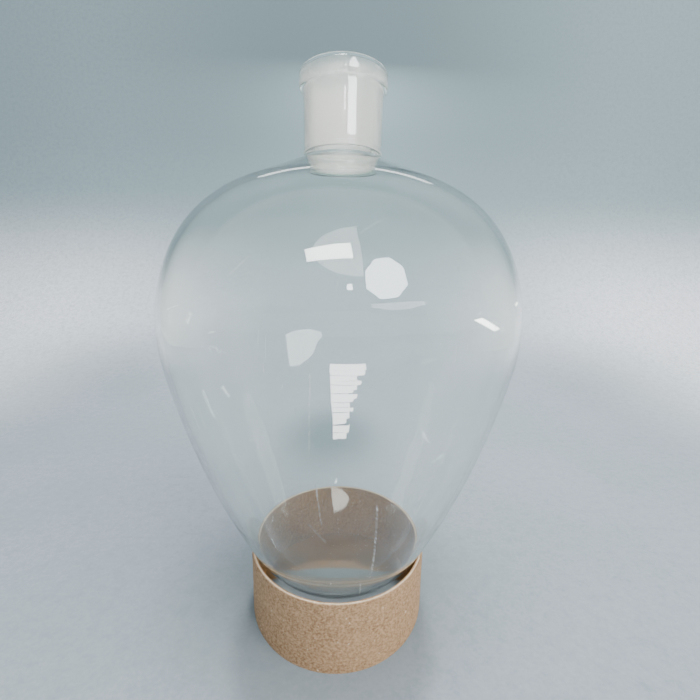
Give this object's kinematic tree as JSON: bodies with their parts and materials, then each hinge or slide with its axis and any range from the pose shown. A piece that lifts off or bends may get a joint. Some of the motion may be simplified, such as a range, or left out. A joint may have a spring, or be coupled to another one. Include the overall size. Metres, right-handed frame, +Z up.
{
  "type": "pear-shaped ground-joint flask in a cardboard ring",
  "caption": "Clear glass pear-shaped flask with a short ground taper socket neck, standing loosely in a ring cut from a cardboard tube.",
  "frame": {"origin": "on the flask's axis, at the level of the surface that the ring stands on", "axes": "+Z up along the flask's axis to its mouth; the ring is a little narrower along X than along Y"},
  "size_m": [0.1588, 0.1588, 0.2515],
  "materials": {
    "clear_glass": "clear, fire polished, finely scratched from use",
    "ground_glass": "clear outside, evenly ground and frosted inside",
    "kraft_paper": "matt recycled kraft paper with light and dark flecks",
    "grey_board": "matt, fibrous where it is cut",
    "inner_liner": "matt kraft paper"
  },
  "bodies": {
    "stand": {"ring_outer_ply": "kraft_paper", "ring_core_ply": "grey_board", "ring_inner_ply": "inner_liner"},
    "flask": {"flask_bulb": "clear_glass", "ground_socket": "ground_glass"}
  },
  "joints": [
    {"name": "flask_lift", "type": "slide", "parent": "stand", "child": "flask", "axis": [0, 0, 1], "range_m": [0, 0.04]}
  ]
}
